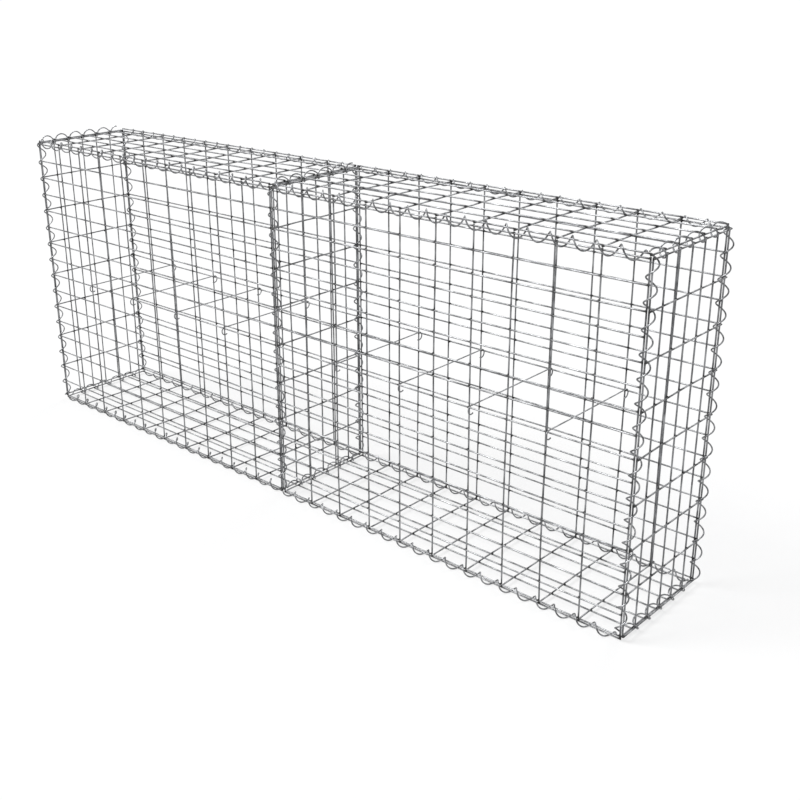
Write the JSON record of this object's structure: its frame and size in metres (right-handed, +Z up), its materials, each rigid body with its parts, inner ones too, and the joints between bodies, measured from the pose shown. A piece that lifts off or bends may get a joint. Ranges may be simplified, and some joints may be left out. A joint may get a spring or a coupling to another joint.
{
  "type": "gabion wall basket",
  "caption": "Empty galvanised welded-mesh gabion wall basket in two bays, laced at every edge with spiral coils and braced by hooked ties.",
  "frame": {"origin": "middle of the base, on the plane the lowest coils rest on", "axes": "+X along the wall, +Y from front to back, +Z up"},
  "size_m": [2.0535, 0.3337, 0.8358],
  "materials": {
    "mesh_wire": "galvanised, dull grey",
    "coil_wire": "galvanised, bright grey",
    "tie_wire": "galvanised, grey"
  },
  "bodies": {
    "root": {"front_left_panel": "mesh_wire", "front_right_panel": "mesh_wire", "back_left_panel": "mesh_wire", "back_right_panel": "mesh_wire", "lid_left_panel": "mesh_wire", "lid_right_panel": "mesh_wire", "base_left_panel": "mesh_wire", "base_right_panel": "mesh_wire", "left_end_panel": "mesh_wire", "right_end_panel": "mesh_wire", "divider_panel": "mesh_wire", "front_left_top_coil": "coil_wire", "front_right_top_coil": "coil_wire", "back_left_top_coil": "coil_wire", "back_right_top_coil": "coil_wire", "front_left_base_coil": "coil_wire", "front_right_base_coil": "coil_wire", "back_left_base_coil": "coil_wire", "back_right_base_coil": "coil_wire", "front_left_corner_coil": "coil_wire", "front_right_corner_coil": "coil_wire", "back_left_corner_coil": "coil_wire", "back_right_corner_coil": "coil_wire", "front_middle_coil": "coil_wire", "back_middle_coil": "coil_wire", "left_end_top_coil": "coil_wire", "right_end_top_coil": "coil_wire", "divider_top_coil": "coil_wire", "left_end_base_coil": "coil_wire", "right_end_base_coil": "coil_wire", "divider_base_coil": "coil_wire", "left_bay_tie_1": "tie_wire", "left_bay_tie_2": "tie_wire", "left_bay_tie_3": "tie_wire", "left_bay_tie_4": "tie_wire", "right_bay_tie_1": "tie_wire", "right_bay_tie_2": "tie_wire", "right_bay_tie_3": "tie_wire", "right_bay_tie_4": "tie_wire"}
  },
  "joints": []
}
